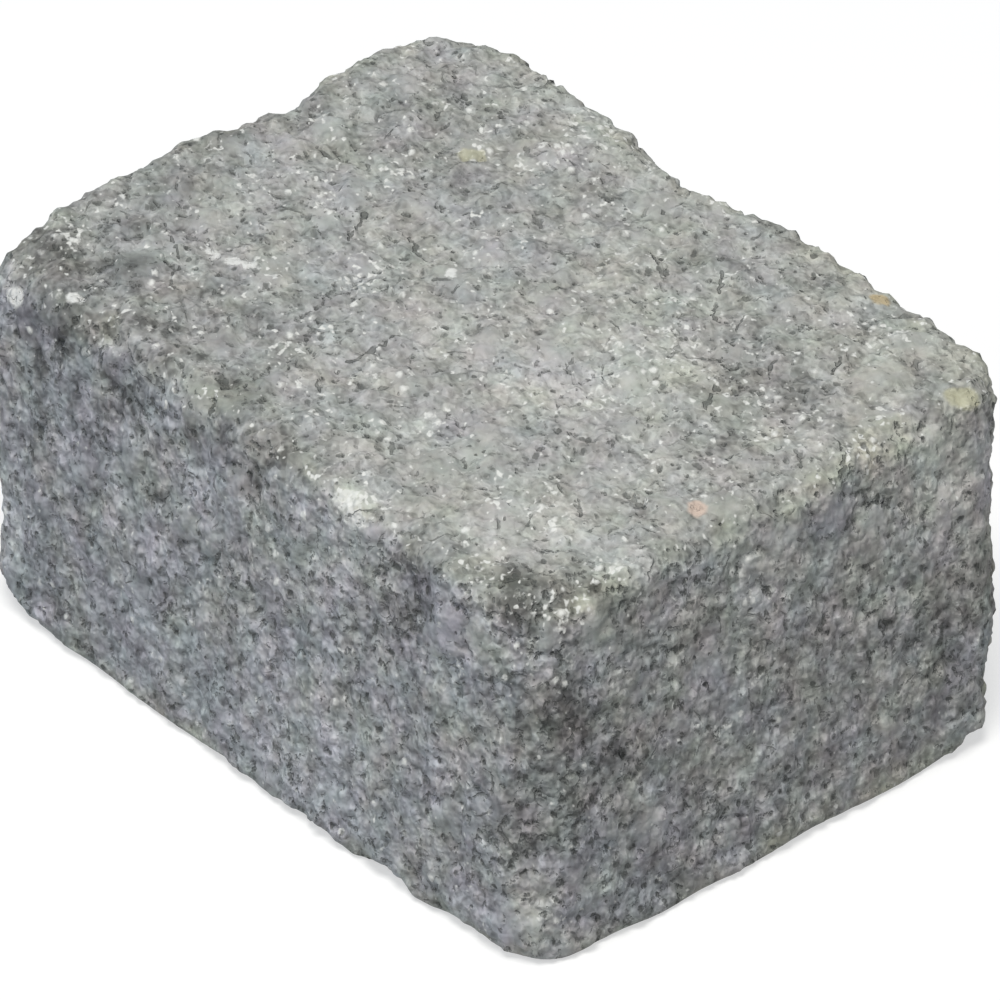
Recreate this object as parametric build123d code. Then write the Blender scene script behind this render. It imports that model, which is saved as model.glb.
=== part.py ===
from build123d import *
from math import ceil, cos, exp, hypot, pi, radians, sin
import os

# A tumbled concrete paver, pressed in one piece and then tumbled until its edges are knocked round.
# Millimetres. X runs along the length, Y across the width, Z up from the bed face that it rests on.
# The front is the long side at -Y, the right is the short side at +X.

# Overall size over the worn faces
LENGTH = 158.0
WIDTH = 118.0
HEIGHT = 80.0

# Upright corners, as tumbling left them
FRONT_LEFT_RADIUS = 10.5
FRONT_RIGHT_RADIUS = 13.0
BACK_RIGHT_RADIUS = 12.0
BACK_LEFT_RADIUS = 12.0

# Edges round the top and the bed, where they aren't knocked further
TOP_EDGE_RADIUS = 2.8
BED_EDGE_RADIUS = 2.4
BED_EDGE_START = 20.0  # degrees between the bed face and the foot of the rounding
EDGE_RIPPLE = 0.5

# Unevenness of the pressed sides: one slow wave, and closer ones across it
SIDE_RELIEF = 0.5
SIDE_RIPPLE = 0.3
SIDE_RIPPLES_ROUND = 23
SIDE_RIPPLES_UP = 1.5

# Swells and hollows of the top: place in shares of the length and width from the middle, spread, rise
TOP_SWELLS = [
    (-0.42, 0.25, 28.0, 1.7),
    (0.42, -0.40, 42.0, -1.0),
    (0.04, -0.06, 44.0, 0.3),
    (-0.45, -0.13, 24.0, 1.0),
    (-0.40, -0.42, 30.0, -0.6),
    (0.30, 0.28, 34.0, 0.4),
]

# Shallow hollows worn into the top between firmer plates of the mix, some running into each other:
# place in shares of the length and width from the middle, width and depth
TOP_HOLLOWS = [
    (-0.32, -0.22, 27.0, 0.55),
    (-0.39, -0.07, 19.0, 0.45),
    (-0.35, 0.13, 22.0, 0.50),
    (-0.26, 0.25, 18.0, 0.40),
    (-0.14, 0.05, 25.0, 0.55),
    (-0.09, 0.32, 23.0, 0.50),
    (-0.11, -0.31, 20.0, 0.45),
    (0.04, -0.13, 23.0, 0.50),
    (0.02, 0.15, 19.0, 0.45),
    (0.14, 0.29, 22.0, 0.55),
    (0.25, 0.18, 19.0, 0.50),
    (0.15, -0.31, 22.0, 0.45),
    (0.22, -0.05, 24.0, 0.50),
    (0.36, 0.07, 20.0, 0.45),
    (0.37, 0.30, 18.0, 0.45),
    (0.37, -0.20, 21.0, 0.45),
]

# Sections that the body is drawn through
STATION_GAP = 9.0
CORNER_STATIONS = 5
CORNER_FAN = 12.0
BED_ANGLES = (BED_EDGE_START, 42.0, 66.0, 90.0)
TOP_ANGLES = (0.0, 24.0, 48.0, 70.0, 90.0)
WALL_SHARES = (0.16, 0.33, 0.5, 0.67, 0.84)

# Points that the top face is drawn over: how far apart at most, how far they stay inside the plain
# outline, and where the corners of that field start to be cut round
TOP_POINT_GAP = 12.0
TOP_POINT_MARGIN = 14.0
TOP_POINT_CORNER = 27.0

# Knocked stretches of the edges: where the middle is, how long, and what they add to the radius
TOP_WEAR = [
    ("front", 0.16, 48.0, 4.6),
    ("front", 0.38, 44.0, 4.4),
    ("front", 0.60, 36.0, 2.4),
    ("front", 0.84, 40.0, 3.0),
    ("front_right", 0.5, 46.0, 8.5),
    ("right", 0.32, 40.0, 3.4),
    ("right", 0.60, 34.0, 2.0),
    ("right", 0.86, 36.0, 4.0),
    ("back_right", 0.5, 30.0, 3.0),
    ("back", 0.14, 44.0, 2.0),
    ("back", 0.48, 26.0, 4.0),
    ("back", 0.65, 28.0, 3.4),
    ("back", 0.92, 56.0, 2.2),
    ("back_left", 0.5, 34.0, 5.0),
    ("left", 0.42, 30.0, 4.4),
    ("front_left", 0.5, 52.0, 9.0),
]
BED_WEAR = [
    ("front_left", 0.5, 50.0, 7.0),
    ("front", 0.12, 50.0, 1.2),
    ("front", 0.46, 34.0, 2.6),
    ("front", 0.65, 24.0, 4.2),
    ("front", 0.97, 36.0, 4.2),
    ("front_right", 0.4, 20.0, 1.6),
    ("right", 0.62, 50.0, 1.5),
    ("back_right", 0.5, 36.0, 8.0),
    ("back", 0.4, 50.0, 2.0),
    ("left", 0.6, 40.0, 2.5),
]

# Chips broken out of the edges: edge, side or corner, place along it, depth across it, length along it,
# and lean, the degrees that the chip turns up towards the top or, upright, on round the corner.
# The place on an upright corner is a share of the height.
CHIPS = [
    ("top", "back", 0.57, 5.0, 38.0, -6.0),
    ("top", "back", 0.67, 4.2, 17.0, 9.0),
    ("top", "left", 0.335, 3.7, 18.0, 8.0),
    ("top", "front", 0.36, 3.2, 24.0, -14.0),
    ("top", "right", 0.52, 2.9, 21.0, 12.0),
    ("bed", "front", 0.79, 3.0, 19.0, 6.0),
    ("bed", "front_left", 0.5, 5.0, 24.0, 10.0),
    ("bed", "back", 0.74, 3.4, 24.0, 12.0),
    ("bed", "left", 0.3, 3.0, 20.0, 8.0),
    ("upright", "back_right", 0.74, 1.2, 16.0, 0.0),
    ("upright", "front_right", 0.44, 0.9, 26.0, 14.0),
    ("upright", "back_left", 0.6, 1.3, 26.0, -12.0),
]


def outline_runs():
    """The plan outline, anticlockwise from the front left: straight sides and corner arcs, in order."""
    half_length, half_width = LENGTH / 2, WIDTH / 2
    corners = [
        ("front_right", half_length, -half_width, FRONT_RIGHT_RADIUS, -90),
        ("back_right", half_length, half_width, BACK_RIGHT_RADIUS, 0),
        ("back_left", -half_length, half_width, BACK_LEFT_RADIUS, 90),
        ("front_left", -half_length, -half_width, FRONT_LEFT_RADIUS, 180),
    ]
    sides = ["front", "right", "back", "left"]
    runs = []
    for i, (name, x, y, radius, start) in enumerate(corners):
        before = corners[i - 1]
        normal = radians(start)
        nx, ny = cos(normal), sin(normal)
        tx, ty = -ny, nx
        reach = abs(x * tx + y * ty) + abs(before[1] * tx + before[2] * ty)
        straight = reach - radius - before[3]
        centre_x = x - radius if x > 0 else x + radius
        centre_y = y - radius if y > 0 else y + radius
        first_x = centre_x + radius * nx - straight * tx
        first_y = centre_y + radius * ny - straight * ty
        runs.append(("side", sides[i], straight, (first_x, first_y), (tx, ty), (nx, ny)))
        runs.append(("corner", name, radius * pi / 2, (centre_x, centre_y), radius, start))
    return runs


def point_on(run, share):
    """The outline point at a share of one run, and its outward normal."""
    if run[0] == "side":
        _, _, straight, first, along, normal = run
        x = first[0] + along[0] * straight * share
        y = first[1] + along[1] * straight * share
        return (x, y), normal
    _, _, _, centre, radius, start = run
    angle = radians(start + 90 * share)
    normal = (cos(angle), sin(angle))
    return (centre[0] + radius * normal[0], centre[1] + radius * normal[1]), normal


def outward_at(place, normal):
    """The direction out of the outline that insets are taken along.

    It fans out from deeper in round the corners, so that deep wear there doesn't fold.
    """
    corners = [
        (1, -1, FRONT_RIGHT_RADIUS),
        (1, 1, BACK_RIGHT_RADIUS),
        (-1, 1, BACK_LEFT_RADIUS),
        (-1, -1, FRONT_LEFT_RADIUS),
    ]
    for side_x, side_y, radius in corners:
        fan_x = side_x * (LENGTH / 2 - radius - CORNER_FAN)
        fan_y = side_y * (WIDTH / 2 - radius - CORNER_FAN)
        dx, dy = place[0] - fan_x, place[1] - fan_y
        if dx * side_x > 0 and dy * side_y > 0:
            return dx / hypot(dx, dy), dy / hypot(dx, dy)
    return normal


def run_start(name):
    """How far along the outline a run starts, and how long it is."""
    travelled = 0.0
    for run in outline_runs():
        if run[1] == name:
            return travelled, run[2]
        travelled += run[2]
    raise ValueError(name)


def worn_radius(usual, wear, travelled, lap):
    """The edge radius at a distance along the outline."""
    turn = 2 * pi * travelled / lap
    radius = usual + EDGE_RIPPLE * (cos(13 * turn + 0.8) + cos(19 * turn + 2.1)) / 2
    for name, share, length, extra in wear:
        start, run_length = run_start(name)
        gap = abs(travelled - start - share * run_length)
        gap = min(gap, lap - gap)
        if gap < length / 2:
            radius += extra * (1 + cos(2 * pi * gap / length)) / 2
    return radius


def top_height(x, y):
    """The swelling top face, before the hollows are cut."""
    z = HEIGHT
    for along, across, spread, rise in TOP_SWELLS:
        gap = hypot(x - along * LENGTH, y - across * WIDTH)
        z += rise * exp(-((gap / spread) ** 2))
    return z


def wall_dip(travelled, lap, share):
    """How far the wall lies inside the plain outline, at a share of its height."""
    turn = 2 * pi * travelled / lap
    wave = cos(5 * turn + 1.3) * cos(2 * pi * (share - 0.4))
    ripple = cos(SIDE_RIPPLES_ROUND * turn + 9 * share) * cos(2 * pi * SIDE_RIPPLES_UP * share + 3 * turn)
    return SIDE_RELIEF * wave + SIDE_RIPPLE * ripple


def stations():
    """Points along the outline: the point, the way out, the distance and whether a run starts."""
    found = []
    travelled = 0.0
    for run in outline_runs():
        steps = max(4, round(run[2] / STATION_GAP)) if run[0] == "side" else CORNER_STATIONS
        for step in range(steps):
            place, normal = point_on(run, step / steps)
            outward = outward_at(place, normal)
            found.append((place, outward, travelled + run[2] * step / steps, step == 0))
        travelled += run[2]
    return found, travelled


def bed_ring(found, lap, angle):
    """The section at one angle of the rounding round the bed face."""
    level = []
    for (x, y), (nx, ny), s, _ in found:
        radius = worn_radius(BED_EDGE_RADIUS, BED_WEAR, s, lap)
        inset = radius * (1 - sin(radians(angle))) + wall_dip(s, lap, 0.0)
        z = radius * (cos(radians(BED_EDGE_START)) - cos(radians(angle)))
        level.append((x - nx * inset, y - ny * inset, z))
    return level


def wall_ring(found, lap, share):
    """The section at a share of the height between the two roundings."""
    level = []
    for (x, y), (nx, ny), s, _ in found:
        foot = worn_radius(BED_EDGE_RADIUS, BED_WEAR, s, lap) * cos(radians(BED_EDGE_START))
        radius = worn_radius(TOP_EDGE_RADIUS, TOP_WEAR, s, lap)
        head = top_height(x - nx * radius, y - ny * radius) - radius
        inset = wall_dip(s, lap, share)
        level.append((x - nx * inset, y - ny * inset, foot + (head - foot) * share))
    return level


def top_ring(found, lap, angle):
    """The section at one angle of the rounding round the top face."""
    level = []
    for (x, y), (nx, ny), s, _ in found:
        radius = worn_radius(TOP_EDGE_RADIUS, TOP_WEAR, s, lap)
        dip = wall_dip(s, lap, 1.0)
        crest = top_height(x - nx * (radius + dip), y - ny * (radius + dip))
        inset = radius * (1 - cos(radians(angle))) + dip
        z = crest - radius * (1 - sin(radians(angle)))
        level.append((x - nx * inset, y - ny * inset, z))
    return level


def top_points():
    """Points of the top face between its worn rims."""
    half_length = LENGTH / 2 - TOP_POINT_MARGIN
    half_width = WIDTH / 2 - TOP_POINT_MARGIN
    round_off = TOP_POINT_CORNER - TOP_POINT_MARGIN
    columns = ceil(2 * half_length / TOP_POINT_GAP)
    rows = ceil(2 * half_width / TOP_POINT_GAP)
    found = []
    for i in range(columns + 1):
        for j in range(rows + 1):
            x = half_length * (2 * i / columns - 1)
            y = half_width * (2 * j / rows - 1)
            past_x = max(abs(x) - half_length + round_off, 0.0)
            past_y = max(abs(y) - half_width + round_off, 0.0)
            if hypot(past_x, past_y) <= round_off:
                found.append((x, y, top_height(x, y)))
    return found


def ring_wire(level, found, lap):
    """One closed smooth section, in an edge for each run of the outline."""
    marks = [s / lap for _, _, s, _ in found]
    whole = Edge.make_spline(level, periodic=True, parameters=marks + [1.0])
    starts = [mark for mark, station in zip(marks, found) if station[3]] + [1.0]
    return Wire([whole.trim(first, last) for first, last in zip(starts, starts[1:])])


def body():
    """The worn block, before chips: bands of skin between the sections, closed by the bed and the top."""
    found, lap = stations()
    bed = [bed_ring(found, lap, angle) for angle in BED_ANGLES]
    wall = [wall_ring(found, lap, share) for share in WALL_SHARES]
    crown = [top_ring(found, lap, angle) for angle in TOP_ANGLES]
    wires = [ring_wire(level, found, lap) for level in bed + wall + crown]
    foot, head, rim = len(bed) - 1, len(bed) + len(wall), len(wires) - 1
    skin = [Face(wires[0]), Face.make_surface(wires[rim], surface_points=top_points())]
    for first, last in ((0, foot), (foot, head), (head, rim)):
        skin += Shell.make_loft(wires[first:last + 1]).faces()
    return Solid(Shell(skin))


def chip(edge, name, share, depth, length, lean):
    """A ball that breaks a shallow scallop out of an edge or an upright corner."""
    run = next(run for run in outline_runs() if run[1] == name)
    ball = (length / 2) ** 2 / (2 * depth) + depth / 2
    out = ball - depth
    if edge == "upright":
        (x, y), (nx, ny) = point_on(run, 0.5 + lean / 90)
        return Pos(x + nx * out, y + ny * out, share * HEIGHT) * Sphere(ball)
    (x, y), (nx, ny) = point_on(run, share)
    rise = radians(lean + (45 if edge == "top" else -45))
    z = HEIGHT if edge == "top" else 0.0
    return Pos(x + nx * cos(rise) * out, y + ny * cos(rise) * out, z + sin(rise) * out) * Sphere(ball)


def hollow(along, across, width, depth):
    """A wide ball that wears a shallow dish into the top face."""
    x, y = along * LENGTH, across * WIDTH
    ball = (width / 2) ** 2 / (2 * depth) + depth / 2
    return Pos(x, y, top_height(x, y) - depth + ball) * Sphere(ball)


def paver():
    block = body()
    for entry in TOP_HOLLOWS:
        block -= hollow(*entry)
    for entry in CHIPS:
        block -= chip(*entry)
    return block


def main():
    os.makedirs("parts", exist_ok=True)
    solid = paver()
    export_step(solid, "parts/paver.step")
    box = solid.bounding_box()
    print("volume", round(solid.volume), "box", box.min, box.max)


main()
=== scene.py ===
import math

import bpy
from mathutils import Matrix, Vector

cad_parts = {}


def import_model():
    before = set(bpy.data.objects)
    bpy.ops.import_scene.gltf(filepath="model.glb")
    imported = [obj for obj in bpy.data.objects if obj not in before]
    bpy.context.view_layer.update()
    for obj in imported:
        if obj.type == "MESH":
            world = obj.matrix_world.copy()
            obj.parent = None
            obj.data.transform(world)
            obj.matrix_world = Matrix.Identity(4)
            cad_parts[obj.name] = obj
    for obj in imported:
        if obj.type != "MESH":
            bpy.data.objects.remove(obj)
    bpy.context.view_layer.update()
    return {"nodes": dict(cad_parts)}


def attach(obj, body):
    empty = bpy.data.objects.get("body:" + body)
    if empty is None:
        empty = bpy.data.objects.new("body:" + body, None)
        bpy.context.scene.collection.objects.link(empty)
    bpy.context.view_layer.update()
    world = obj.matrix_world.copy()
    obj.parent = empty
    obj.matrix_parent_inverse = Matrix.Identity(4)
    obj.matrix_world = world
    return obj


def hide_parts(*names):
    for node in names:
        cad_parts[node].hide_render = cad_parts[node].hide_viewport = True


# A tumbled concrete paver. Lengths are metres, but millimetres in the tables and the surface fields

MM = 0.001

# The paver's mean faces: how far they are from its middle, and the top from the bed
HALF_LENGTH = 79.0
HALF_WIDTH = 59.0
TOP = 80.5

# The skin's mesh
VOXEL = 0.93 * MM
SETTLE_FACTOR = 0.5
SETTLE_ROUNDS = 2

# The grain comes out longer along one diagonal, and a little taller than wide
GRAIN_LEAN = Vector((0.62, -0.53, 0.58))
GRAIN_STRETCH = 1.35
GRAIN_HEIGHT = 1.25

# How wide each kind of form is
SWELL_SIZE = 26.0
LUMP_SIZE = 6.5
PLATE_SIZE = 8.5
SEAM_SIZE = 7.0
TORN_SIZE = 5.0
PEBBLE_SIZE = 2.6
GRAIN_SIZE = 2.0
GAP_SIZE = 1.6
GRIT_SIZE = 1.4
SPECK_SIZE = 1.3

# How wide each kind of patch is
WEAR_SIZE = 11.0
CROWD_SIZE = 12.0
LIME_SIZE = 9.0
MOTTLE_SIZE = 7.0
BLUE_SIZE = 11.0
GREEN_SIZE = 8.0

# How far the worn strip along the arrises reaches in, and how far its border strays
WEAR_REACH = 8.0
WEAR_WANDER = 14.0

# How far each form stands out or goes in
SWELL_HEIGHT = 1.0
LUMP_HEIGHT = 2.7
PEBBLE_HEIGHT = 1.7
PLATE_HEIGHT = 0.35
DOME_HEIGHT = 0.3
RIM_DEPTH = 0.50
GAP_DEPTH = 0.5
CREASE_DEPTH = 0.4
HOLE_DEPTH = 0.6
WORN_ROUGHER = 0.3

# The relief grows from nothing between these heights, so that the paver lies flat
BED_FADE = (0.4, 3.0)

# Heights count little in the distance from a crack, and the cracks are between these widths
CRACK_SQUASH = (1.0, 1.0, 0.2)
CRACK_WIDTHS = (0.22, 0.62)
CRACK_STRENGTH = 0.85
CREASE_WIDTH = 0.026
CREASE_STRENGTH = 0.7
FAR_AWAY = 99.0

# The levels that make a pore, a lost grain or a white grain, and what each field adds to them
GAP_LEVEL = 0.415
GAP_SHIFTS = {"up": -0.035, "crowd": 0.05, "plate": -0.05, "rim": 0.08}
LOST_LEVEL = 0.84
LOST_SHIFTS = {"crowd": -0.10, "plate": 0.12}
WHITE_LEVEL = 0.99
WHITE_SHIFTS = {"up": -0.02, "lime": -0.22}

# What each field adds to the strength of the grit, which is 1 without them
CALM_SHIFTS = {"plate": -0.5, "up": -0.2}

# How much lighter or darker each thing makes the paste
MOTTLE_TOP = 0.29
MOTTLE_SIDE = 0.40
GRIT_TONE = 1.3
SAND_TONE = 0.40
DOME_TONE = 0.14
LIME_TONE = 0.10
DARKEST_TONE = 0.3

# How far the fine grain stands out in the material alone
BUMP_DOME = 0.35
BUMP_DEPTH = 0.5

# The coarse fields that the skin keeps for its material
KEPT_FIELDS = (
    "wear", "up", "crowd", "plate", "rim", "lime", "tone", "blue", "green", "seam", "torn", "gulf",
)
KEPT_PLACES = ("way",)

PASTE_BLUE = (0.372, 0.382, 0.398, 1.0)
PASTE_WARM = (0.404, 0.402, 0.368, 1.0)
PALE_GRAIN = (0.80, 0.80, 0.77, 1.0)
# The pore colour is painted shade in the pores, creases, cracks and lost grains, and partly their dirt
PORE_SHADE = (0.075, 0.08, 0.075, 1.0)
PALE_STRENGTH = 0.8
PORE_SHADE_STRENGTH = 0.75

# Casts that the paste's colour is multiplied by
GREEN_CAST = (0.955, 1.015, 0.98, 1.0)
ROSY_CAST = (1.045, 0.985, 1.02, 1.0)
# painted light: the side cast makes the sides bluer and the top cast makes the top warmer
SIDE_CAST = (0.99, 0.99, 1.02, 1.0)
TOP_CAST = (1.0, 1.0, 0.98, 1.0)
WORN_CAST = (1.0, 1.0, 0.95, 1.0)
OLIVE_CAST = (1.03, 1.03, 0.90, 1.0)

STONE_ROUGHNESS = 0.9
STONE_SPECULAR = 0.3

ROSE = (0.66, 0.52, 0.44, 1.0)
OCHRE = (0.50, 0.40, 0.24, 1.0)
SAND = (0.52, 0.50, 0.33, 1.0)
LIME = (0.78, 0.78, 0.76, 1.0)

# The floor and the sky, which look white from the camera but give less light than that
FLOOR_REACH = 6.0
FLOOR_GREY = (0.50, 0.50, 0.50, 1.0)
FLOOR_GLOW = 0.55
SKY_COLOUR = (0.88, 0.95, 1.0, 1.0)
SKY_STRENGTH = 0.285
SEEN_WHITE = (1.0, 1.0, 1.0, 1.0)

# The camera stands off the front right corner, looking down
AZIMUTH = math.radians(49.5)
ELEVATION = math.radians(35.2)
DISTANCE = 2.128
AIM = Vector((0.0, 0.0, 0.040))
OUT = Vector((
    math.sin(AZIMUTH) * math.cos(ELEVATION),
    -math.cos(AZIMUTH) * math.cos(ELEVATION),
    math.sin(ELEVATION),
))
RIGHT = Vector((math.cos(AZIMUTH), math.sin(AZIMUTH), 0.0))
UP = RIGHT.cross(-OUT)
ASIDE = RIGHT * 1.31 * MM - UP * 2.31 * MM
PIXELS_PER_MM = 5.421
PICTURE_WIDTH = 1000.0
SENSOR = 36.0
CLIP_START = 0.05
CLIP_END = 50.0

# The soft lights, which face the paver: the place, the width, the power in watts and the colour
LIGHTS = {
    "top_light": ((0.50, -0.62, 1.95), 0.9, 35.0, (1.0, 0.985, 0.95)),
    "side_light": ((-1.0, -1.9, 0.9), 1.4, 6.7, (0.72, 0.86, 1.0)),
}

# Broad patches, partly painted shade and light (darker on the rounded arrises and corners, lighter low on
# the sides) and partly the paste's own lighter and darker tone: the middle and the reach in mm, and how
# much lighter or darker
PAINTED_SHADE_AND_TONE = [
    ((-60, -52, 77), 19, -0.42),
    ((-8, -56, 78), 15, -0.26),
    ((50, -57, 77), 10, -0.22),
    ((75, -55, 77), 10, -0.25),
    ((-40, -40, 80), 15, -0.12),
    ((24, -6, 80), 17, 0.17),
    ((36, 8, 80), 15, 0.08),
    ((48, 20, 80), 14, -0.18),
    ((-72, -16, 80), 15, -0.20),
    ((-48, 31, 80), 17, -0.15),
    ((40, 30, 80), 16, -0.08),
    ((74, 48, 79), 14, -0.36),
    ((-40, 55, 80), 22, 0.10),
    ((60, -38, 80), 16, 0.12),
    ((-12, -59, 62), 13, 0.16),
    ((24, -59, 64), 14, 0.14),
    ((48, -59, 66), 11, -0.20),
    ((-48, -59, 60), 18, -0.10),
    ((-72, -57, 22), 15, 0.20),
    ((-56, -59, 20), 13, -0.12),
    ((12, -59, 20), 34, 0.09),
    ((79, -54, 46), 20, -0.22),
    ((79, -42, 36), 13, -0.12),
    ((77, -54, 9), 16, 0.20),
    ((78, 46, 70), 22, 0.36),
    ((79, 0, 62), 17, 0.12),
    ((79, 44, 30), 16, -0.18),
    ((79, -28, 12), 13, -0.10),
    ((66, 30, 80), 12, -0.15),
    ((60, 6, 80), 10, -0.16),
    ((73, -6, 80), 9, -0.12),
    ((-73, 6, 80), 10, -0.22),
    ((36, 18, 80), 9, 0.20),
    ((-24, -36, 80), 13, -0.17),
    ((12, -55, 79), 9, -0.25),
    ((-36, -54, 79), 9, -0.20),
    ((65, -43, 80), 10, -0.12),
    ((-12, 36, 80), 9, -0.11),
    ((24, 45, 80), 8, -0.12),
    ((-24, 53, 80), 8, 0.10),
    ((-74, -57, 70), 12, 0.24),
    ((-30, -58, 73), 12, -0.26),
    ((59, -59, 67), 9, 0.26),
    ((-60, -59, 40), 8, -0.17),
    ((12, -59, 40), 7, -0.13),
    ((-48, -59, 28), 8, 0.19),
    ((36, -59, 28), 8, 0.19),
    ((24, -59, 52), 7, 0.13),
    ((-73, -58, 14), 8, 0.18),
    ((48, -59, 52), 7, -0.10),
    ((79, -54, 30), 9, -0.28),
    ((79, -18, 52), 8, 0.15),
    ((79, 18, 16), 7, -0.16),
    ((79, -6, 28), 7, -0.12),
    ((79, 30, 62), 8, 0.08),
    ((73, -50, 77), 11, -0.27),
    ((67, -52, 78), 8, -0.20),
    ((77, -39, 77), 6, -0.12),
    ((78, -48, 66), 7, 0.15),
    ((78, -50, 60), 7, -0.12),
    ((77, -52, 54), 8, -0.22),
    ((30, -58, 78), 6, 0.30),
    ((-71, -49, 77), 9, -0.20),
]

# Pale patches, thick with light grains: the middle and the reach in mm, and the strength
LIMY = [
    ((55, -33, 80), 6, 1.0),
    ((74, -35, 79), 5, 1.0),
    ((29, 16, 80), 8, 0.8),
    ((-44, 39, 80), 5, 0.7),
    ((-42, 30, 80), 5, 0.9),
    ((-46, 14, 80), 6, 0.8),
    ((54, 18, 80), 4, 0.9),
    ((72, 31, 79), 5, 0.9),
    ((54, 45, 80), 7, 0.8),
    ((-69, 33, 79), 4, 0.7),
    ((58, -51, 79), 6, 0.8),
    ((29, -57, 79), 7, 1.0),
    ((-15, -36, 80), 5, 0.8),
    ((-22, -12, 80), 6, 0.7),
    ((-36, -24, 80), 5, 0.9),
    ((2, -31, 80), 3, 0.8),
    ((46, -38, 80), 4, 0.7),
    ((20, -33, 80), 4, 0.7),
    ((34, 0, 80), 9, 0.5),
    ((-58, -8, 80), 6, 0.6),
    ((-70, -42, 79), 7, 0.7),
    ((-30, 52, 80), 7, 0.6),
    ((42, 28, 80), 5, 0.6),
    ((73, -51, 77), 8, 0.5),
    ((76, -53, 69), 9, 0.8),
    ((78, -50, 13), 9, 0.8),
]

# Short cracks in the top, from point to point in mm
CRACKS = [
    [(-61, -28, 80.5), (-54, -31, 80.5)],
    [(-52, -32, 80.5), (-48, -35, 80.5), (-45, -40, 80.5)],
    [(18, 40, 80.5), (23, 35, 80.5)],
    [(25, 32, 80.5), (29, 28, 80.5), (31.5, 29.5, 80.5)],
    [(45, 14, 80.5), (50, 8, 80.5)],
    [(72, 19.5, 79.5), (79, 16, 79)],
    [(-61, 9.5, 80.5), (-56, 8, 80.5)],
    [(-2.5, -39.5, 80.5), (0.5, -42, 80.5)],
    [(-3.5, -19, 80.5), (-4, -31, 80.5)],
    [(20, -41, 80.5), (23, -43, 80.5)],
    [(55.5, -27, 80.5), (59, -30, 80.5)],
    [(-28, 3.5, 80.5), (-20, 0.5, 80.5)],
    [(-39, 2.5, 80.5), (-34, -6, 80.5)],
    [(6, 34, 80.5), (11, 31, 80.5)],
    [(-13.8, -2.4, 80.5), (-11.8, -0.4, 80.5)],
    [(54, 37, 80.5), (55, 34, 80.5)],
    [(57.4, 6.4, 80.5), (58.2, 5.8, 80.5)],
    [(-3.2, 44.2, 80.5), (-2.2, 43.6, 80.5)],
    [(-67.5, -12.2, 80.2), (-66.8, -11.8, 80.2)],
    [(24.8, -28.5, 80.5), (25.2, -27.8, 80.5)],
    [(50, 23, 80.5), (46, 28, 80.5)],
    [(70, 12, 80), (74, 9, 80)],
]

# Single stones and white grains: the ends and radius in mm, the raggedness, strength and colour
MARKS = [
    (((70.8, -12.4, 80.0), (71.8, -13.4, 80.0)), 2.2, 0.8, 0.85, ROSE),
    (((43.2, 55.4, 80.0), (44.6, 55.4, 80.0)), 1.9, 1.0, 0.85, OCHRE),
    (((-41.2, 28.9, 80.4), (-39.9, 30.3, 80.4)), 2.1, 2.0, 0.5, SAND),
    (((75.4, 45.4, 79.9), (76.8, 47.2, 79.2)), 2.8, 1.5, 0.6, SAND),
    (((-67.6, -58.2, 73.4), (-66.2, -58.2, 73.6)), 2.4, 1.5, 0.8, LIME),
    (((-53.8, -55.1, 78.6), (-52.2, -55.3, 78.7)), 1.7, 1.5, 0.9, LIME),
    (((-50.0, -26.8, 80.5), (-46.5, -27.6, 80.5)), 1.4, 3.5, 0.8, LIME),
    (((-42.6, -26.6, 80.5), (-38.8, -24.8, 80.5)), 1.6, 3.5, 0.8, LIME),
    (((-13.9, 1.6, 80.5), (-12.8, 0.8, 80.5)), 1.2, 2.0, 0.85, LIME),
    (((27.0, -57.8, 79.3), (32.6, -58.9, 77.3)), 1.8, 5.0, 0.6, LIME),
]

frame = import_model()


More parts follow.
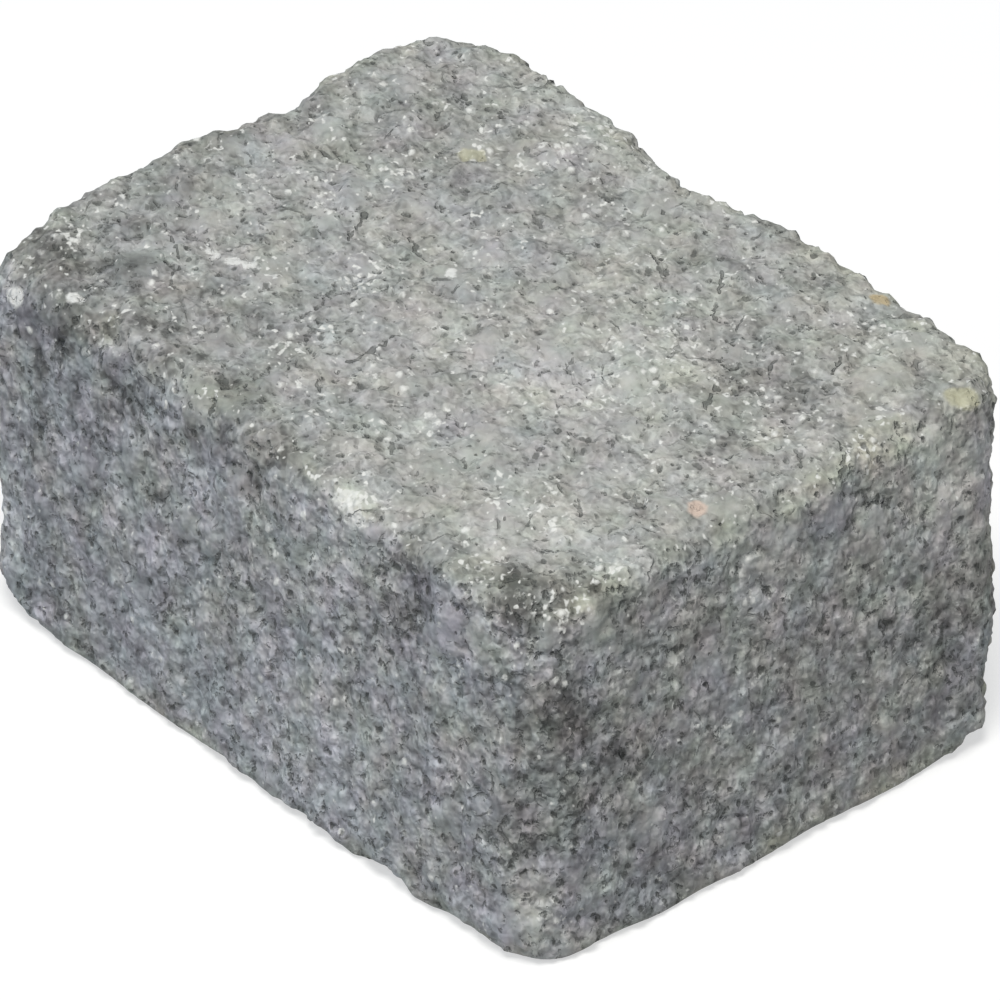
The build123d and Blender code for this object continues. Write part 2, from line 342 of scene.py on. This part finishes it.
class Net:
    """Builds a node tree: the same calls write the relief in Geometry Nodes and the colour in a shader."""

    def __init__(self, tree):
        self.tree = tree

    def node(self, kind, **values):
        made = self.tree.nodes.new(kind)
        for name, value in values.items():
            setattr(made, name, value)
        return made

    def plug(self, socket, value):
        if hasattr(value, "is_output"):
            self.tree.links.new(value, socket)
        elif value is not None:
            socket.default_value = value

    def math(self, operation, a, b=None, clamp=False):
        made = self.node("ShaderNodeMath", operation=operation, use_clamp=clamp)
        for socket, value in zip(made.inputs, (a, b)):
            self.plug(socket, value)
        return made.outputs[0]

    def add(self, a, b):
        return self.math("ADD", a, b)

    def less(self, a, b):
        return self.math("SUBTRACT", a, b)

    def times(self, a, b):
        return self.math("MULTIPLY", a, b)

    def most(self, a, b):
        return self.math("MAXIMUM", a, b)

    def least(self, a, b):
        return self.math("MINIMUM", a, b)

    def size(self, value):
        return self.math("ABSOLUTE", value)

    def clamped(self, value):
        return self.math("ADD", value, 0.0, clamp=True)

    def centred(self, value):
        return self.math("SUBTRACT", value, 0.5)

    def shifted(self, value, fields, shifts):
        """The value, with a share of each named field added."""
        for name, share in shifts.items():
            value = self.add(value, self.times(fields[name], share))
        return value

    def vector(self, operation, a, b=None, scale=None):
        made = self.node("ShaderNodeVectorMath", operation=operation)
        self.plug(made.inputs[0], a)
        if b is not None:
            self.plug(made.inputs[1], b)
        if scale is not None:
            self.plug(made.inputs["Scale"], scale)
        gives_number = operation in ("LENGTH", "DISTANCE", "DOT_PRODUCT")
        return made.outputs["Value"] if gives_number else made.outputs[0]

    def parts(self, vector):
        made = self.node("ShaderNodeSeparateXYZ")
        self.plug(made.inputs[0], vector)
        return made.outputs

    def ramp(self, value, low, high, bottom=0.0, top=1.0, smooth=True):
        """From bottom to top while the value goes from low to high, and level on either side."""
        kind = "SMOOTHSTEP" if smooth else "LINEAR"
        made = self.node("ShaderNodeMapRange", interpolation_type=kind)
        for socket, item in zip(made.inputs[:5], (value, low, high, bottom, top)):
            self.plug(socket, item)
        return made.outputs[0]

    def blend(self, under, factor, over):
        made = self.node("ShaderNodeMix", data_type="RGBA")
        self.plug(made.inputs["Factor"], factor)
        self.plug(made.inputs[6], under)
        self.plug(made.inputs[7], over)
        return made.outputs[2]

    def noise(self, place, size, detail=0.0, rough=0.5, shift=0.0):
        """Soft noise from 0 to 1, about size mm from one swell to the next."""
        moved = self.vector("ADD", place, (shift, shift * 0.7, -shift * 1.3))
        made = self.node("ShaderNodeTexNoise", noise_dimensions="3D")
        self.plug(made.inputs["Vector"], moved)
        self.plug(made.inputs["Scale"], 1.0 / size)
        self.plug(made.inputs["Detail"], detail)
        self.plug(made.inputs["Roughness"], rough)
        return made.outputs[0]

    def cells(self, place, size, shift=0.0):
        """Cells about size mm across: the distance from their middles in cell sizes, and random numbers."""
        moved = self.vector("ADD", place, (shift, -shift * 0.6, shift * 1.7))
        made = self.node("ShaderNodeTexVoronoi", voronoi_dimensions="3D", feature="F1")
        self.plug(made.inputs["Vector"], moved)
        self.plug(made.inputs["Scale"], 1.0 / size)
        return made.outputs["Distance"], self.parts(made.outputs["Color"])

    def warp(self, place, size, reach, shift=0.0):
        """The place, pushed about by up to reach mm."""
        moved = self.vector("ADD", place, (shift, shift, shift))
        made = self.node("ShaderNodeTexNoise", noise_dimensions="3D")
        self.plug(made.inputs["Vector"], moved)
        self.plug(made.inputs["Scale"], 1.0 / size)
        self.plug(made.inputs["Detail"], 2.0)
        centred = self.vector("SUBTRACT", made.outputs["Color"], (0.5, 0.5, 0.5))
        pushed = self.vector("SCALE", centred, scale=2.0 * reach)
        return self.vector("ADD", place, pushed)


def grain_place(net, place):
    """Places in mm, squeezed along one diagonal, so that the grain comes out a little longer that way."""
    lean = tuple(GRAIN_LEAN.normalized())
    along = net.vector("DOT_PRODUCT", place, lean)
    back = net.times(along, 1.0 / GRAIN_STRETCH - 1.0)
    leaned = net.vector("ADD", place, net.vector("SCALE", lean, scale=back))
    return net.vector("MULTIPLY", leaned, (1.0, 1.0, 1.0 / GRAIN_HEIGHT))


def patches(net, place, entries, ragged):
    """The sum of soft round patches with ragged borders."""
    total = 0.0
    for middle, reach, amount in entries:
        away = net.math("DIVIDE", net.vector("DISTANCE", place, middle), reach)
        total = net.add(net.ramp(net.add(away, ragged), 1.3, 0.2, 0.0, amount), total)
    return total


def way_from_line(net, place, first, last):
    """The way to the place from the nearest point between two ends."""
    along = last - first
    start = net.vector("SUBTRACT", place, tuple(first))
    share = net.clamped(net.vector("DOT_PRODUCT", start, tuple(along / along.length_squared)))
    return net.vector("SUBTRACT", start, net.vector("SCALE", tuple(along), scale=share))


def nearest_crack(net, place):
    """The way from the nearest crack to the place in mm, and its length; heights count little."""
    way = (FAR_AWAY, 0.0, 0.0)
    far = FAR_AWAY
    squashed = net.vector("MULTIPLY", place, CRACK_SQUASH)
    for points in CRACKS:
        ends = [Vector(point) * Vector(CRACK_SQUASH) for point in points]
        for first, last in zip(ends, ends[1:]):
            offset = way_from_line(net, squashed, first, last)
            length = net.vector("LENGTH", offset)
            closer = net.math("LESS_THAN", length, far)
            step = net.vector("SCALE", net.vector("SUBTRACT", offset, way), scale=closer)
            way = net.vector("ADD", way, step)
            far = net.least(length, far)
    return way, far


def fine_fields(net, place):
    """The grain under 3 mm across, for the relief and the colour alike."""
    grain = grain_place(net, place)
    grit = net.noise(grain, GRIT_SIZE, detail=1.0, shift=23.0)
    gap = net.noise(grain, GAP_SIZE, detail=2.0, rough=0.6, shift=61.0)
    return {"grain": grain, "grit": grit, "gap": gap}


def worn_strip(net, place, grain):
    """1 along the arrises and corners, where the second nearest of the six faces is near too."""
    x, y, z = net.parts(place)
    from_end = net.less(HALF_LENGTH, net.size(x))
    from_side = net.less(HALF_WIDTH, net.size(y))
    from_bed_or_top = net.least(net.less(TOP, z), z)
    nearer = net.least(from_end, from_side)
    farther = net.most(from_end, from_side)
    second = net.most(nearer, net.least(farther, from_bed_or_top))
    stray = net.noise(grain, WEAR_SIZE, detail=2.0, rough=0.6, shift=17.0)
    return net.ramp(net.add(second, net.times(net.centred(stray), WEAR_WANDER)), WEAR_REACH, 0.0)


def paste_plates(net, grain, bent):
    """Smooth plates of paste in about half of the cells, and the broken rim round each."""
    far, dice = net.cells(bent, PLATE_SIZE, shift=41.0)
    reach = net.ramp(dice[0], 0.0, 1.0, 0.30, 0.55, smooth=False)
    chosen = net.ramp(dice[1], 0.50, 0.60)
    inside = net.math("DIVIDE", far, reach)
    plate = net.times(net.ramp(inside, 1.05, 0.85), chosen)
    ring = net.times(net.ramp(net.size(net.less(inside, 1.12)), 0.20, 0.02), chosen)
    broken = net.ramp(net.noise(grain, 4.5, detail=1.0, shift=57.0), 0.42, 0.62)
    return plate, net.times(ring, broken)


def coarse_fields(net, place):
    """The fields over 3 mm across, which the mesh can hold."""
    grain = grain_place(net, place)
    bent = net.warp(net.warp(grain, 12.0, 3.0, 31.0), 3.5, 0.8, 37.0)
    wear = worn_strip(net, place, grain)
    swell = net.noise(grain, SWELL_SIZE, detail=1.0, shift=3.0)
    lumpy = net.warp(grain, 9.0, 1.5, 5.0)
    lump = net.noise(lumpy, LUMP_SIZE, detail=2.0, rough=0.55, shift=11.0)
    plate, rim = paste_plates(net, grain, bent)
    normal = net.node("GeometryNodeInputNormal").outputs["Normal"]
    up = net.ramp(net.parts(normal)[2], 0.45, 0.85)

    # light and dark patches, partly painted shade and light, and the pores and holes that crowd in the dark
    # ones
    mottle = net.noise(grain, MOTTLE_SIZE, detail=3.0, rough=0.65, shift=89.0)
    ragged = net.times(net.centred(mottle), 1.6)
    lime = net.ramp(net.noise(grain, LIME_SIZE, detail=3.0, rough=0.65, shift=127.0), 0.50, 0.72)
    lime = net.add(lime, patches(net, place, LIMY, ragged))
    # the patches of painted shade and light, mixed with the paste's own tone
    shade = patches(net, place, PAINTED_SHADE_AND_TONE, ragged)
    crowd = net.noise(grain, CROWD_SIZE, detail=2.0, rough=0.6, shift=71.0)
    crowd = net.ramp(crowd, 0.30, 0.70, -1.0, 1.0, smooth=False)
    crowd = net.add(crowd, net.times(net.least(shade, 0.0), -2.0))
    amount = net.ramp(up, 0.0, 1.0, MOTTLE_SIDE, MOTTLE_TOP)
    mottle = net.ramp(mottle, 0.2, 0.8, -1.0, 1.0, smooth=False)
    tone = net.add(shade, net.times(mottle, amount))

    # creases that run in short curves, and the cracks
    seam = net.noise(bent, SEAM_SIZE, shift=173.0)
    torn = net.noise(grain, TORN_SIZE, detail=1.0, shift=191.0)
    way, gulf = nearest_crack(net, net.warp(place, 2.5, 1.8, 211.0))

    # the paste is warmer towards the back right, and bluer near the bed
    blue = net.noise(grain, BLUE_SIZE, detail=4.0, rough=0.7, shift=101.0)
    blue = net.add(blue, net.vector("DOT_PRODUCT", place, (0.0005, 0.00075, 0.0)))
    blue = net.add(blue, net.ramp(net.parts(place)[2], 45.0, 15.0, 0.0, -0.05))
    green = net.noise(grain, GREEN_SIZE, detail=4.0, rough=0.7, shift=151.0)
    return {
        "wear": wear, "up": up, "bent": bent, "swell": swell, "lump": lump, "crowd": crowd,
        "plate": plate, "rim": rim, "lime": lime, "tone": tone, "blue": blue, "green": green,
        "seam": seam, "torn": torn, "way": way, "gulf": gulf,
    }


def gap_depth(net, fine, kept):
    """0 to 1 in the pores between the grains, which crowd on the sides and along the torn rims."""
    level = net.shifted(GAP_LEVEL, kept, GAP_SHIFTS)
    return net.ramp(net.less(level, fine["gap"]), 0.0, 0.14, smooth=False)


def grains(net, fine, kept):
    """Sand grains: how far up each is domed, which are holes, which are white, and a tone for each."""
    far, dice = net.cells(fine["grain"], GRAIN_SIZE, shift=233.0)
    dome = net.ramp(far, 0.60, 0.10)
    ragged = net.times(net.centred(fine["gap"]), 1.1)
    lost = net.math("GREATER_THAN", dice[2], net.shifted(LOST_LEVEL, kept, LOST_SHIFTS))
    hole = net.times(net.ramp(net.add(far, ragged), 0.44, 0.06), lost)
    rare = net.math("GREATER_THAN", dice[1], net.shifted(WHITE_LEVEL, kept, WHITE_SHIFTS))
    white = net.times(net.ramp(net.less(far, ragged), 0.48, 0.10), rare)
    return {"dome": dome, "hole": hole, "white": white, "shade": net.centred(dice[0])}


def crease_depth(net, fine, kept):
    """0 to 1 along the creases and the cracks."""
    ragged = net.times(net.centred(fine["gap"]), 0.12)
    line = net.add(net.size(net.centred(kept["seam"])), ragged)
    shown = net.ramp(kept["torn"], 0.54, 0.66, 0.0, CREASE_STRENGTH)
    crease = net.times(net.ramp(line, CREASE_WIDTH, 0.0), shown)
    apart = net.add(net.vector("LENGTH", kept["way"]), net.times(ragged, 12.0))
    apart = net.most(apart, net.less(kept["gulf"], 1.2))
    wide = net.ramp(kept["torn"], 0.35, 0.65, *CRACK_WIDTHS, smooth=False)
    crack = net.ramp(net.math("DIVIDE", apart, wide), 1.0, 0.35, 0.0, CRACK_STRENGTH)
    return net.most(crease, crack)


def relief_height(net, place, coarse, fine):
    """How far each point of the skin stands out, in mm."""
    pebble = net.noise(coarse["bent"], PEBBLE_SIZE, detail=1.0, rough=0.6, shift=131.0)
    lump = net.times(net.centred(coarse["lump"]), LUMP_HEIGHT)
    lump = net.add(lump, net.times(net.centred(pebble), PEBBLE_HEIGHT))
    rough = net.add(1.0, net.times(coarse["wear"], WORN_ROUGHER))
    height = net.times(net.centred(coarse["swell"]), SWELL_HEIGHT)
    height = net.add(height, net.times(lump, rough))
    height = net.add(height, net.times(coarse["plate"], PLATE_HEIGHT))
    height = net.less(height, net.times(coarse["rim"], RIM_DEPTH))
    height = net.less(height, net.times(gap_depth(net, fine, coarse), GAP_DEPTH))
    height = net.less(height, net.times(crease_depth(net, fine, coarse), CREASE_DEPTH))
    sand = grains(net, fine, coarse)
    height = net.add(height, net.times(sand["dome"], DOME_HEIGHT))
    height = net.less(height, net.times(sand["hole"], HOLE_DEPTH))
    return net.times(height, net.ramp(net.parts(place)[2], *BED_FADE))


def kept_on_points(net, flow, kind, name, value):
    """The geometry, with a field stored on its points under a name."""
    made = net.node("GeometryNodeStoreNamedAttribute", data_type=kind, domain="POINT")
    net.plug(made.inputs["Name"], name)
    net.plug(made.inputs["Value"], value)
    net.plug(made.inputs["Geometry"], flow)
    return made.outputs[0]


def relief_group():
    """Geometry Nodes that raise the skin along its normal and keep the coarse fields for the material."""
    tree = bpy.data.node_groups.new("paver_relief", "GeometryNodeTree")
    tree.interface.new_socket("Geometry", in_out="INPUT", socket_type="NodeSocketGeometry")
    tree.interface.new_socket("Geometry", in_out="OUTPUT", socket_type="NodeSocketGeometry")
    net = Net(tree)
    flow = net.node("NodeGroupInput").outputs[0]
    end = net.node("NodeGroupOutput")
    place = net.vector("SCALE", net.node("GeometryNodeInputPosition").outputs[0], scale=1 / MM)
    coarse = coarse_fields(net, place)
    fine = fine_fields(net, place)
    for name in KEPT_FIELDS:
        flow = kept_on_points(net, flow, "FLOAT", name, coarse[name])
    for name in KEPT_PLACES:
        flow = kept_on_points(net, flow, "FLOAT_VECTOR", name, coarse[name])
    height = net.times(relief_height(net, place, coarse, fine), MM)
    setter = net.node("GeometryNodeSetPosition")
    net.plug(setter.inputs["Geometry"], flow)
    normal = net.node("GeometryNodeInputNormal").outputs[0]
    net.plug(setter.inputs["Offset"], net.vector("SCALE", normal, scale=height))
    net.plug(end.inputs[0], setter.outputs[0])
    return tree


def dressed_skin(node):
    """The CAD paver's skin, remeshed finely and roughened, as a new object."""
    source = node.evaluated_get(bpy.context.evaluated_depsgraph_get())
    mesh = bpy.data.meshes.new_from_object(source)
    mesh.transform(node.matrix_world)
    piece = bpy.data.objects.new("paver_skin", mesh)
    bpy.context.scene.collection.objects.link(piece)
    remesh = piece.modifiers.new("even_mesh", "REMESH")
    remesh.mode = "VOXEL"
    remesh.voxel_size = VOXEL
    remesh.use_smooth_shade = True
    smooth = piece.modifiers.new("settle", "SMOOTH")
    smooth.factor = SETTLE_FACTOR
    smooth.iterations = SETTLE_ROUNDS
    relief = piece.modifiers.new("relief", "NODES")
    relief.node_group = relief_group()
    done = bpy.data.meshes.new_from_object(piece.evaluated_get(bpy.context.evaluated_depsgraph_get()))
    piece.modifiers.clear()
    piece.data = done
    for polygon in done.polygons:
        polygon.use_smooth = True
    lowest = min(vertex.co.z for vertex in done.vertices)
    for vertex in done.vertices:
        vertex.co.z = max(vertex.co.z - lowest, 0.0)
    print("paver_skin triangles", sum(len(polygon.vertices) - 2 for polygon in done.polygons))
    return piece


def empty_net(owner):
    """A net for a material's or a world's node tree, with nothing in it."""
    owner.use_nodes = True
    owner.node_tree.nodes.clear()
    return Net(owner.node_tree)


def paste_colour(net, kept):
    """The paste: bluish to yellowish, greenish to rosy, with painted light that makes the sides bluer and
    the top warmer, warmer where worn and olive in worn lime.
    """
    low = net.ramp(kept["up"], 0.0, 1.0, 0.36, 0.30)
    high = net.less(1.0, low)
    colour = net.blend(PASTE_BLUE, net.ramp(kept["blue"], low, high, smooth=False), PASTE_WARM)
    cast = net.blend(GREEN_CAST, net.ramp(kept["green"], low, high, smooth=False), ROSY_CAST)
    colour = net.vector("MULTIPLY", colour, cast)
    # painted light tints the sides blue and the top warm; then come the real wear and the worn lime
    painted_tint_and_wear = net.blend(SIDE_CAST, kept["up"], TOP_CAST)
    painted_tint_and_wear = net.blend(painted_tint_and_wear, kept["wear"], WORN_CAST)
    olive = net.clamped(net.times(kept["wear"], kept["lime"]))
    painted_tint_and_wear = net.blend(painted_tint_and_wear, olive, OLIVE_CAST)
    return net.vector("MULTIPLY", colour, painted_tint_and_wear)


def paste_tone(net, fine, kept, sand, calm):
    """How light the paste is: by its patches, which are partly painted shade and light, by its grit and by
    its grains.
    """
    grit = net.times(net.centred(fine["grit"]), GRIT_TONE)
    grit = net.add(grit, net.times(sand["shade"], SAND_TONE))
    grit = net.add(grit, net.times(net.centred(sand["dome"]), DOME_TONE))
    tone = net.add(net.add(kept["tone"], net.times(grit, calm)), 1.0)
    tone = net.add(tone, net.times(kept["lime"], LIME_TONE))
    return net.most(tone, DARKEST_TONE)


def pale_grains(net, fine, kept, sand):
    """1 on the pale grains: more of them where the arrises are worn and in limy patches of the top."""
    crust = net.times(kept["lime"], net.ramp(kept["up"], 0.0, 1.0, 0.6, 1.0, smooth=False))
    start = net.less(net.ramp(kept["up"], 0.0, 1.0, 0.70, 0.67), net.times(crust, 0.13))
    start = net.less(start, net.times(kept["wear"], 0.04))
    speck = net.noise(fine["grain"], SPECK_SIZE, detail=1.0, shift=107.0)
    return net.most(net.ramp(net.less(speck, start), 0.0, 0.12), sand["white"])


def mark_mask(net, place, ends, radius, ragged):
    """1 within radius mm of the line between two ends, with a ragged border."""
    first, last = (Vector(end) for end in ends)
    far = net.vector("LENGTH", way_from_line(net, place, first, last))
    return net.ramp(net.add(far, ragged), radius, radius * 0.55)


def concrete():
    """Dry-pressed concrete, coloured by the fields that the skin keeps and by its fine grain."""
    material = bpy.data.materials.new("concrete")
    net = empty_net(material)
    place = net.vector("SCALE", net.node("ShaderNodeTexCoord").outputs["Object"], scale=1 / MM)
    kept = {}
    for name in KEPT_FIELDS:
        kept[name] = net.node("ShaderNodeAttribute", attribute_name=name).outputs["Fac"]
    for name in KEPT_PLACES:
        kept[name] = net.node("ShaderNodeAttribute", attribute_name=name).outputs["Vector"]
    fine = fine_fields(net, place)
    sand = grains(net, fine, kept)
    calm = net.shifted(1.0, kept, CALM_SHIFTS)

    colour = paste_colour(net, kept)
    colour = net.vector("SCALE", colour, scale=paste_tone(net, fine, kept, sand, calm))
    pale = pale_grains(net, fine, kept, sand)
    colour = net.blend(colour, net.times(pale, PALE_STRENGTH), PALE_GRAIN)
    depth = net.most(gap_depth(net, fine, kept), crease_depth(net, fine, kept))
    depth = net.most(depth, sand["hole"])
    # painted shade darkens the pores, creases, cracks and lost grains
    colour = net.blend(colour, net.times(depth, PORE_SHADE_STRENGTH), PORE_SHADE)
    uneven = net.centred(fine["gap"])
    for ends, radius, ragged, strength, shade in MARKS:
        mask = mark_mask(net, place, ends, radius, net.times(uneven, ragged))
        colour = net.blend(colour, net.times(mask, strength), shade)

    height = net.times(net.centred(fine["grit"]), calm)
    height = net.add(height, net.times(sand["dome"], BUMP_DOME))
    height = net.less(height, net.times(depth, BUMP_DEPTH))
    bump = net.node("ShaderNodeBump")
    net.plug(bump.inputs["Strength"], 1.0)
    net.plug(bump.inputs["Distance"], MM)
    net.plug(bump.inputs["Height"], height)

    shader = net.node("ShaderNodeBsdfPrincipled")
    net.plug(shader.inputs["Base Color"], colour)
    net.plug(shader.inputs["Roughness"], STONE_ROUGHNESS)
    net.plug(shader.inputs["Specular IOR Level"], STONE_SPECULAR)
    net.plug(shader.inputs["Normal"], bump.outputs[0])
    output = net.node("ShaderNodeOutputMaterial")
    net.plug(output.inputs["Surface"], shader.outputs[0])
    return material


def seen(net):
    """1 for what the camera sees, itself or in a reflection, and 0 for light that falls on things."""
    rays = net.node("ShaderNodeLightPath").outputs
    return net.most(rays["Is Camera Ray"], net.most(rays["Is Glossy Ray"], rays["Is Transmission Ray"]))


def floor():
    """A wide pale floor that glows a little, to look white in the picture."""
    mesh = bpy.data.meshes.new("floor")
    sides = (-FLOOR_REACH, FLOOR_REACH)
    corners = [(x, y, 0) for y in sides for x in sides]
    mesh.from_pydata(corners, [], [(0, 1, 3, 2)])
    piece = bpy.data.objects.new("floor", mesh)
    bpy.context.scene.collection.objects.link(piece)
    material = bpy.data.materials.new("floor_white")
    net = empty_net(material)
    matt = net.node("ShaderNodeBsdfDiffuse")
    net.plug(matt.inputs["Color"], FLOOR_GREY)
    glow = net.node("ShaderNodeEmission")
    net.plug(glow.inputs["Strength"], net.times(seen(net), FLOOR_GLOW))
    both = net.node("ShaderNodeAddShader")
    net.plug(both.inputs[0], matt.outputs[0])
    net.plug(both.inputs[1], glow.outputs[0])
    output = net.node("ShaderNodeOutputMaterial")
    net.plug(output.inputs["Surface"], both.outputs[0])
    mesh.materials.append(material)
    return piece


def background(net, colour, strength):
    made = net.node("ShaderNodeBackground")
    net.plug(made.inputs["Color"], colour)
    net.plug(made.inputs["Strength"], strength)
    return made.outputs[0]


def world():
    """A white backdrop that lights the paver softly and a little bluely."""
    made = bpy.data.worlds.new("studio")
    bpy.context.scene.world = made
    net = empty_net(made)
    mix = net.node("ShaderNodeMixShader")
    net.plug(mix.inputs[0], seen(net))
    net.plug(mix.inputs[1], background(net, SKY_COLOUR, SKY_STRENGTH))
    net.plug(mix.inputs[2], background(net, SEEN_WHITE, 1.0))
    output = net.node("ShaderNodeOutputWorld")
    net.plug(output.inputs["Surface"], mix.outputs[0])


def softbox(name, place, size, power, colour):
    """A round soft light that faces the paver."""
    data = bpy.data.lights.new(name, "AREA")
    data.shape = "DISK"
    data.size = size
    data.energy = power
    data.color = colour
    lamp = bpy.data.objects.new(name, data)
    bpy.context.scene.collection.objects.link(lamp)
    lamp.location = place
    lamp.rotation_euler = (AIM - Vector(place)).to_track_quat("-Z", "Y").to_euler()


def camera():
    """A long lens, which shows the paver at the photograph's scale."""
    data = bpy.data.cameras.new("camera")
    made = bpy.data.objects.new("camera", data)
    bpy.context.scene.collection.objects.link(made)
    data.sensor_width = SENSOR
    data.lens = DISTANCE / MM * SENSOR * PIXELS_PER_MM / PICTURE_WIDTH
    data.clip_start = CLIP_START
    data.clip_end = CLIP_END
    made.location = AIM + OUT * DISTANCE + ASIDE
    made.rotation_euler = (-OUT).to_track_quat("-Z", "Y").to_euler()
    bpy.context.scene.camera = made


scene = bpy.context.scene
scene.view_settings.view_transform = "Standard"

skin = dressed_skin(frame["nodes"]["paver"])
skin.data.materials.clear()
skin.data.materials.append(concrete())
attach(skin, "root")
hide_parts("paver")

ground = floor()
world()
for name, (place, size, power, colour) in LIGHTS.items():
    softbox(name, place, size, power, colour)
camera()
